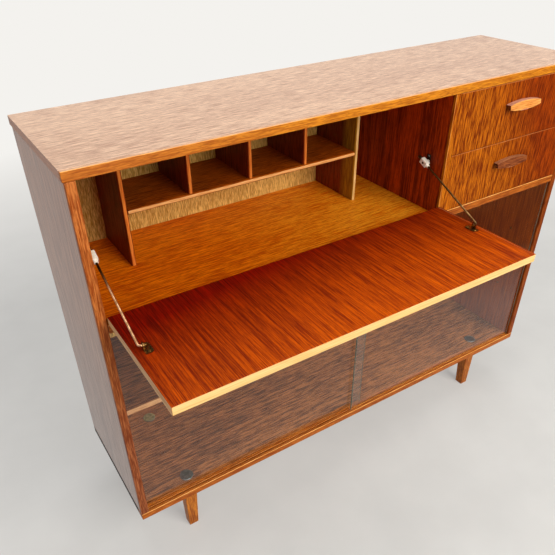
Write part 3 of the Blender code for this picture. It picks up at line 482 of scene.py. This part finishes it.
# CAD nodes whose welded copies show, smooth over their rounded edges
WELDED = {
    "top_lipping": LIP_TOP, "bottom_lipping": LIP_ACROSS, "desk_lipping": LIP_ACROSS,
    "left_side_lipping": LIP_LEFT, "right_side_lipping": LIP_RIGHT, "divider_lipping": LIP_DIVIDER,
    "drawer_lower_front": TEAK_DRAWER, "drawer_upper_front": TEAK_DRAWER,
    "inner_shelf": TEAK_INSIDE,
    "flap_lipping": ASH_EDGED, "flap_catch": NYLON,
    "stay_left_rod": ROD_LEFT, "stay_right_rod": ROD_RIGHT,
    "stay_left_block": NYLON, "stay_right_block": NYLON,
    "stay_left_wall_plate": PLATE_STEEL, "stay_right_wall_plate": PLATE_STEEL,
}
WELDED.update({name: LEG_TEAK for name in NODES if name.startswith(("leg_front", "leg_rear"))})
WELDED.update({name: BRASS for name in NODES
               if name.endswith("_leaf") or name.startswith("shelf_peg")})
WELDED.update({name: STEEL for name in NODES if name.startswith("leg_bolt")})

# Lips with glass grooves, whose sharp edges are rounded
GROOVED = ("bottom_lipping", "desk_lipping")

# Boards with a rounded nose
NOSED = {
    "pigeonhole_left_upright": SAPELE_UPRIGHT, "pigeonhole_right_upright": SAPELE_STRAW,
    "pigeonhole_shelf": SAPELE_SHELF, "pigeonhole_divider_1": SAPELE_UPRIGHT,
    "pigeonhole_divider_2": SAPELE_UPRIGHT, "pigeonhole_divider_3": SAPELE_UPRIGHT,
}


def pick(ob):
    """Make one object the only selected and active one."""
    bpy.ops.object.select_all(action="DESELECT")
    ob.select_set(True)
    bpy.context.view_layer.objects.active = ob


def settle(ob):
    """Apply modifiers and place, so that the object sits at the origin, unturned and unscaled."""
    pick(ob)
    for modifier in list(ob.modifiers):
        bpy.ops.object.modifier_apply(modifier=modifier.name)
    bpy.ops.object.transform_apply(location=True, rotation=True, scale=True)
    return ob


def smooth(ob):
    """Shade a piece round over its small edges and flat on its large faces."""
    pick(ob)
    bpy.ops.object.shade_smooth_by_angle(angle=math.radians(ROUND_BELOW))
    ob.modifiers.new("large faces stay flat", "WEIGHTED_NORMAL").keep_sharp = True
    return settle(ob)


def belong(ob, body, slot, finish, *nodes):
    """Give a piece its finish and its body, and hide the nodes that it stands for."""
    ob.data.materials.clear()
    ob.data.materials.append(finish)
    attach(ob, body)
    if nodes:
        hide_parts(*nodes)
    return ob


def select_edges(ob, wanted):
    """Go into edit mode with only the wanted edges selected, each judged by its two ends."""
    pick(ob)
    bpy.ops.object.mode_set(mode="EDIT")
    bpy.ops.mesh.select_mode(type="EDGE")
    bpy.ops.mesh.select_all(action="DESELECT")
    bpy.ops.object.mode_set(mode="OBJECT")
    for edge in ob.data.edges:
        edge.select = wanted(*(ob.data.vertices[index].co for index in edge.vertices))
    bpy.ops.object.mode_set(mode="EDIT")


def box(name, low, high):
    """A block between two corners."""
    low = Vector(low)
    high = Vector(high)
    bpy.ops.object.select_all(action="DESELECT")
    bpy.ops.mesh.primitive_cube_add(size=1, location=(low + high) / 2, scale=high - low)
    ob = bpy.context.object
    ob.name = name
    return settle(ob)


def rod(name, radius, start, end, sides=32):
    """A round bar between two points."""
    start = Vector(start)
    end = Vector(end)
    turn = (end - start).to_track_quat("Z", "Y").to_euler()
    bpy.ops.object.select_all(action="DESELECT")
    bpy.ops.mesh.primitive_cylinder_add(vertices=sides, radius=radius, depth=(end - start).length,
                                        location=(start + end) / 2, rotation=turn)
    ob = bpy.context.object
    ob.name = name
    return settle(ob)


def soften(ob, width):
    """Round the sharp edges of a piece, and shade it to match."""
    bevel = ob.modifiers.new("softened", "BEVEL")
    bevel.width = width
    bevel.segments = 2
    bevel.limit_method = "ANGLE"
    bevel.angle_limit = math.radians(SOFTEN_ABOVE)
    settle(ob)
    return smooth(ob)


def boolean(ob, tool, operation):
    """Cut a tool away from a piece, or join it on, and remove the tool."""
    modifier = ob.modifiers.new(tool.name, "BOOLEAN")
    modifier.operation = operation
    modifier.object = tool
    settle(ob)
    bpy.data.objects.remove(tool, do_unlink=True)
    return ob


def joined(name, pieces):
    """Several small pieces as one object."""
    bpy.ops.object.select_all(action="DESELECT")
    for piece in pieces:
        piece.select_set(True)
    bpy.context.view_layer.objects.active = pieces[0]
    bpy.ops.object.join()
    pieces[0].name = name
    return settle(pieces[0])


def placed(template, place, outward, turn=0.0):
    """A copy of a small piece with its own mesh, set on a face and turned about its axis."""
    ob = template.copy()
    ob.data = template.data.copy()
    bpy.context.scene.collection.objects.link(ob)
    lift = Vector(outward).to_track_quat("Z", "Y").to_matrix().to_4x4()
    ob.matrix_world = Matrix.Translation(place) @ lift @ Matrix.Rotation(turn, 4, "Z")
    return settle(ob)


def head(radius, height, slot=0.0):
    """A low domed head that stands on a plane, with a screwdriver slot where one is given."""
    ob = rod("head", radius, (0, 0, 0), (0, 0, height))
    select_edges(ob, lambda first, second: min(first.z, second.z) > height - NEAR / 10)
    bpy.ops.mesh.bevel(offset=height * HEAD_CROWN, segments=3, affect="EDGES")
    bpy.ops.object.mode_set(mode="OBJECT")
    if slot:
        reach = radius * 1.2
        floor = height * SLOT_FLOOR
        cutter = box("slot", (-reach, -slot / 2, floor), (reach, slot / 2, height * 2))
        boolean(ob, cutter, "DIFFERENCE")
    return smooth(ob)


def weld(node, finish):
    """A welded, smooth-shaded copy of a node's shape."""
    ob = NODES[node].copy()
    ob.data = NODES[node].data.copy()
    # The node's own tags stay with the node
    for key in list(ob.keys()):
        del ob[key]
    ob.parent = None
    ob.name = node + "_finished"
    bpy.context.scene.collection.objects.link(ob)
    pick(ob)
    bpy.ops.object.mode_set(mode="EDIT")
    bpy.ops.mesh.select_all(action="SELECT")
    bpy.ops.mesh.remove_doubles(threshold=WELD_GAP)
    bpy.ops.mesh.tris_convert_to_quads(face_threshold=math.radians(FLAT_WITHIN),
                                       shape_threshold=math.pi)
    bpy.ops.object.mode_set(mode="OBJECT")
    if node in GROOVED:
        soften(ob, EDGE_ROUND)
    else:
        smooth(ob)
    return belong(ob, BODY_OF[node], SLOT_OF[node], finish, node)


def carve_pull(node, finish, facing, across):
    """A pull with its front edges chamfered right round and its blank planed slimmer.

    facing, across: numbers of the axes that its front faces along and that its height runs along.
    """
    ob = weld(node, finish)
    low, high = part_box(node)
    slim = [1.0, 1.0, 1.0]
    slim[across] = PULL_SLIM
    bpy.ops.object.mode_set(mode="EDIT")
    bpy.ops.mesh.select_all(action="SELECT")
    bpy.ops.mesh.dissolve_limited(angle_limit=math.radians(1))
    bpy.ops.object.mode_set(mode="OBJECT")
    front = low[facing] + NEAR
    select_edges(ob, lambda first, second: max(first[facing], second[facing]) < front)
    bpy.ops.mesh.select_mode(type="FACE")
    bpy.ops.mesh.inset(thickness=PULL_EASE, depth=0)
    bpy.ops.mesh.select_mode(type="VERT")
    bpy.ops.object.mode_set(mode="OBJECT")
    for point in ob.data.vertices:
        point.select = not point.select and point.co[facing] < front
    back = [0.0, 0.0, 0.0]
    back[facing] = PULL_EASE
    bpy.ops.object.mode_set(mode="EDIT")
    bpy.ops.transform.translate(value=back)
    bpy.ops.mesh.select_all(action="SELECT")
    bpy.ops.transform.resize(value=slim, center_override=(low + high) / 2)
    bpy.ops.object.mode_set(mode="OBJECT")
    smooth(ob)


def nose_board(node, finish):
    """A pigeonhole board, its front edge rounded right over as a moulding plane leaves it."""
    low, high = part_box(node)
    size = high - low
    length = 0 if size.x > size.z else 2
    board = box(node + "_nosed", low, high)
    select_edges(board, lambda first, second: max(first.y, second.y) < low.y + NEAR
                 and abs(first[length] - second[length]) > NEAR)
    bpy.ops.mesh.bevel(offset=NOSE, segments=6, affect="EDGES")
    bpy.ops.object.mode_set(mode="OBJECT")
    soften(board, BOARD_ROUND)
    belong(board, "carcass", "sapele", finish, node)


def dress_bracket(side, inward):
    """A flap bracket: a plate with round ends, an ear with a round crown, and two screws."""
    node = "stay_%s_bracket" % side
    low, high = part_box(node)
    plate_top = low.z + EAR
    wall = low.x if inward > 0 else high.x
    middle = (low.y + high.y) / 2
    crown_z = high.z - EAR_CROWN
    plate = box(node + "_finished", low, (high.x, high.y, plate_top))
    select_edges(plate, lambda first, second: abs(first.z - second.z) > EAR / 2
                 and abs(first.x - wall) > EAR)
    bpy.ops.mesh.bevel(offset=PLATE_CORNER, segments=8, affect="EDGES")
    bpy.ops.object.mode_set(mode="OBJECT")
    left, right = sorted((wall, wall + inward * EAR))
    web = box("web", (left, middle - EAR_CROWN, low.z), (right, middle + EAR_CROWN, crown_z))
    boolean(plate, web, "UNION")
    crown = rod("crown", EAR_CROWN, (left, middle, crown_z), (right, middle, crown_z))
    boolean(plate, crown, "UNION")
    eye = rod("eye", EAR_HOLE, (left - EAR, middle, crown_z), (right + EAR, middle, crown_z))
    boolean(plate, eye, "DIFFERENCE")
    soften(plate, EDGE_ROUND / 2)
    belong(plate, "flap", "brass", BRONZE, node)
    template = head(BRACKET_SCREW, BRACKET_SCREW_HEIGHT, SCREW_SLOT)
    out = wall + inward * BRACKET_SCREW_OUT
    # Each slot stops at its own angle, here and on the other screws
    screws = [placed(template, (out, middle + way * BRACKET_SCREW_REACH, plate_top), UP, way + 0.4)
              for way in (-1, 1)]
    belong(joined(node + "_screws", screws), "flap", "brass", BRASS)
    bpy.data.objects.remove(template, do_unlink=True)


def dress_stay(side, inward):
    """The rivet on a stay's block and the two screws in its wall plate."""
    low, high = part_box("stay_%s_block" % side)
    plate_low, plate_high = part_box("stay_%s_wall_plate" % side)
    middle = (plate_low + plate_high) / 2
    face = high.x if inward > 0 else low.x
    template = head(RIVET, RIVET_HEIGHT)
    rivet = placed(template, (face, middle.y, middle.z), (inward, 0, 0))
    bpy.data.objects.remove(template, do_unlink=True)
    rivet.name = "stay_%s_rivet" % side
    belong(rivet, "stay_%s_block" % side, "steel", PLATE_STEEL)
    template = head(PLATE_SCREW, BRACKET_SCREW_HEIGHT / 2, SCREW_SLOT)
    wall = plate_low.x if inward > 0 else plate_high.x
    plate_face = wall + inward * PLATE_FACE
    screws = [placed(template, (plate_face, middle.y, z), (inward, 0, 0), z * 100)
              for z in (plate_low.z + PLATE_SCREW_INSET, plate_high.z - PLATE_SCREW_INSET)]
    belong(joined("stay_%s_wall_screws" % side, screws), "carcass", "steel", STEEL)
    bpy.data.objects.remove(template, do_unlink=True)


def screw_hinges():
    """Three screws in the desk leaf of each hinge, each head sunk by two thirds."""
    template = head(LEAF_SCREW, LEAF_SCREW_PROUD * 3, SCREW_SLOT)
    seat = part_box("desk_lipping")[1].z - LEAF_SCREW_PROUD * 2
    for side in ("left", "right"):
        node = "hinge_%s_desk_leaf" % side
        low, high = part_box(node)
        row = high.y - LEAF_SCREW_INSET
        screws = [placed(template, (low.x + (high.x - low.x) * share, row, seat), UP, share * 7)
                  for share in LEAF_SCREW_PLACES]
        belong(joined("hinge_%s_screws" % side, screws), "carcass", "brass", BRASS)
    bpy.data.objects.remove(template, do_unlink=True)


def sleeve_peg_holes():
    """A thin brass ring pressed into each spare hole above and below the shelf's pegs."""
    template = rod("sleeve", SLEEVE, (0, 0, 0), (0, 0, SLEEVE_PROUD), 24)
    boolean(template, rod("bore", SLEEVE_BORE, (0, 0, -SLEEVE), (0, 0, SLEEVE), 24), "DIFFERENCE")
    soften(template, SLEEVE_PROUD / 3)
    for side, inward in (("left", 1), ("right", -1)):
        wall_low, wall_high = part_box(side + "_side")
        wall = wall_high.x if inward > 0 else wall_low.x
        rings = []
        for place in ("front", "rear"):
            low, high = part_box("shelf_peg_%s_%s" % (place, side))
            middle = (low + high) / 2
            rings += [placed(template, (wall, middle.y, middle.z + row * PEG_PITCH), (inward, 0, 0))
                      for row in (-1, 1)]
        belong(joined("peg_sleeves_" + side, rings), "carcass", "brass", BRASS)
    bpy.data.objects.remove(template, do_unlink=True)


def dress_pane(side):
    """A pane with polished arrises and ground edges."""
    node = "pane_" + side
    low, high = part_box(node)
    pane = box(node + "_glass", low, high)
    bevel = pane.modifiers.new("arris", "BEVEL")
    bevel.width = PANE_ARRIS
    settle(pane)
    belong(pane, node, "glass", GLASS, node)
    pane.data.materials.append(GLASS_EDGE)
    # Only the two large faces are clear
    for face in pane.data.polygons:
        face.material_index = 0 if abs(face.normal.y) > 0.99 else 1


def pin_back():
    """The back, with panel pins punched just under its face along its four edges."""
    low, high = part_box("back_panel")
    across = int((high.x - low.x) / PIN_SPACING)
    upright = int((high.z - low.z) / PIN_SPACING)
    inner_low = low + Vector((PIN_INSET, 0, PIN_INSET))
    inner_high = high - Vector((PIN_INSET, 0, PIN_INSET))
    places = []
    for index in range(across + 1):
        x = inner_low.x + (inner_high.x - inner_low.x) * index / across
        places += [(x, inner_low.z), (x, inner_high.z)]
    for index in range(1, upright):
        z = inner_low.z + (inner_high.z - inner_low.z) * index / upright
        places += [(inner_low.x, z), (inner_high.x, z)]
    floor = high.y - PIN_DEPTH
    recesses = [rod("recess", PIN_RECESS, (x, floor, z), (x, high.y + PIN_DEPTH, z), 16)
                for x, z in places]
    panel = box("back_panel_pinned", low, high)
    boolean(panel, joined("recesses", recesses), "DIFFERENCE")
    smooth(panel)
    belong(panel, "carcass", "back_plywood", BACK_PLY, "back_panel")
    template = head(PIN_HEAD, PIN_DEPTH - NEAR)
    pins = [placed(template, (x, floor, z), BACK) for x, z in places]
    bpy.data.objects.remove(template, do_unlink=True)
    belong(joined("back_panel_pins", pins), "carcass", "steel", STEEL)


def paint_floor():
    """Studio floor, painted: matt and pale, going over to white well away from the cabinet. It glows to
    the camera, and in reflections it is all glow, bright near and dark to the front right, standing in
    for the room.
    """
    bpy.ops.object.select_all(action="DESELECT")
    bpy.ops.mesh.primitive_plane_add(size=FLOOR_SIZE, location=(0, 0, 0))
    floor = bpy.context.object
    floor.name = "floor"
    material, tree = new_material("studio floor, matt paint")
    place = add(tree, "ShaderNodeTexCoord", {}).outputs["Object"]
    cloud = add(tree, "ShaderNodeTexNoise", {"Scale": 4.0, "Detail": 5.0, "Vector": place})
    patch = add(tree, "ShaderNodeMapRange", {"Value": cloud, "From Min": 0.36, "From Max": 0.64})
    colour = add(tree, "ShaderNodeMix", {"data_type": "RGBA", FACTOR: patch,
                                         COLOUR_A: linear("#cacac8"), COLOUR_B: linear("#d4d4d2")})
    paint = add(tree, "ShaderNodeBsdfPrincipled", {"Base Color": colour, "Roughness": 0.9,
                                                   "Specular IOR Level": 0.1})
    far = past(tree, place, SHINE_WAY, SHINE_NEAR, SHINE_FAR)
    shine = add(tree, "ShaderNodeMix", {FACTOR: far, VALUE_A: FLOOR_SHINE, VALUE_B: DARK_ROOM})
    path = add(tree, "ShaderNodeLightPath", {})
    level = add(tree, "ShaderNodeMix",
                {FACTOR: path.outputs["Is Glossy Ray"], VALUE_A: 1.0, VALUE_B: shine})
    glow = add(tree, "ShaderNodeEmission", {"Color": linear("#f4f2ee"), "Strength": level})
    away = add(tree, "ShaderNodeVectorMath", {"operation": "LENGTH", 0: place})
    fade = add(tree, "ShaderNodeMapRange",
               {"Value": away.outputs["Value"], "From Min": FLOOR_NEAR, "From Max": FLOOR_FAR,
                "To Min": FLOOR_GLOW, "To Max": 1.0})
    seen = add(tree, "ShaderNodeMath", {"operation": "MAXIMUM", 0: path.outputs["Is Camera Ray"],
                                        1: path.outputs["Is Transmission Ray"]})
    share = add(tree, "ShaderNodeMath", {"operation": "MULTIPLY", 0: seen, 1: fade})
    share = add(tree, "ShaderNodeMath", {"operation": "MAXIMUM", 0: share,
                                         1: path.outputs["Is Glossy Ray"]})
    both = add(tree, "ShaderNodeMixShader", {0: share, 1: paint, 2: glow})
    add(tree, "ShaderNodeOutputMaterial", {"Surface": both})
    floor.data.materials.append(material)


def surround():
    """A white room: white to the camera, an even light, and dimmer in front in the cabinet's shine."""
    world = bpy.data.worlds.new("white surround")
    bpy.context.scene.world = world
    world.use_nodes = True
    tree = world.node_tree
    tree.nodes.clear()
    direction = add(tree, "ShaderNodeTexCoord", {}).outputs["Generated"]
    parts = add(tree, "ShaderNodeSeparateXYZ", {0: direction})
    shine = add(tree, "ShaderNodeMapRange", {"Value": parts.outputs["Y"], "From Min": DIM_FROM,
                                             "From Max": DIM_TO, "To Min": DIM_FRONT, "To Max": 1.0})
    path = add(tree, "ShaderNodeLightPath", {})
    level = add(tree, "ShaderNodeMix", {FACTOR: path.outputs["Is Glossy Ray"], VALUE_A: WORLD_LIGHT,
                                        VALUE_B: shine})
    seen = add(tree, "ShaderNodeMath", {"operation": "MAXIMUM", 0: path.outputs["Is Camera Ray"],
                                        1: path.outputs["Is Transmission Ray"]})
    level = add(tree, "ShaderNodeMix", {FACTOR: seen, VALUE_A: level, VALUE_B: 1.0})
    sky = add(tree, "ShaderNodeBackground", {"Color": linear("#f4f3f1"), "Strength": level})
    add(tree, "ShaderNodeOutputWorld", {"Surface": sky})


def lamp(name, place, aim, size, power, tint):
    """A soft square lamp that faces a point and isn't seen itself."""
    light = bpy.data.lights.new(name, "AREA")
    light.energy = power
    light.size = size
    light.color = linear(tint)[:3]
    ob = bpy.data.objects.new(name, light)
    ob.location = place
    ob.rotation_euler = (Vector(aim) - Vector(place)).to_track_quat("-Z", "Y").to_euler()
    ob.visible_camera = False
    bpy.context.scene.collection.objects.link(ob)


def set_camera():
    """The camera of the photograph."""
    camera = bpy.data.objects.new("camera", bpy.data.cameras.new("camera"))
    camera.data.lens = CAMERA_LENS
    camera.data.shift_x, camera.data.shift_y = CAMERA_SHIFT
    camera.location = CAMERA_PLACE
    camera.rotation_euler = [math.radians(angle) for angle in CAMERA_TURN]
    bpy.context.scene.collection.objects.link(camera)
    bpy.context.scene.camera = camera
    bpy.context.scene.view_settings.view_transform = "Standard"


for name, finish in FINISH_OF.items():
    NODES[name].data.materials.clear()
    NODES[name].data.materials.append(finish)
for name, finish in WELDED.items():
    weld(name, finish)
for name, finish in NOSED.items():
    nose_board(name, finish)
for side, inward in (("left", 1), ("right", -1)):
    dress_bracket(side, inward)
    dress_stay(side, inward)
    dress_pane(side)
carve_pull("drawer_lower_pull", PULL_RED, 1, 2)
carve_pull("drawer_upper_pull", PULL_PALE, 1, 2)
carve_pull("flap_pull", PULL_RED, 2, 1)
screw_hinges()
sleeve_peg_holes()
pin_back()

paint_floor()
surround()
for name, setting in LAMPS.items():
    lamp(name, *setting)
set_camera()
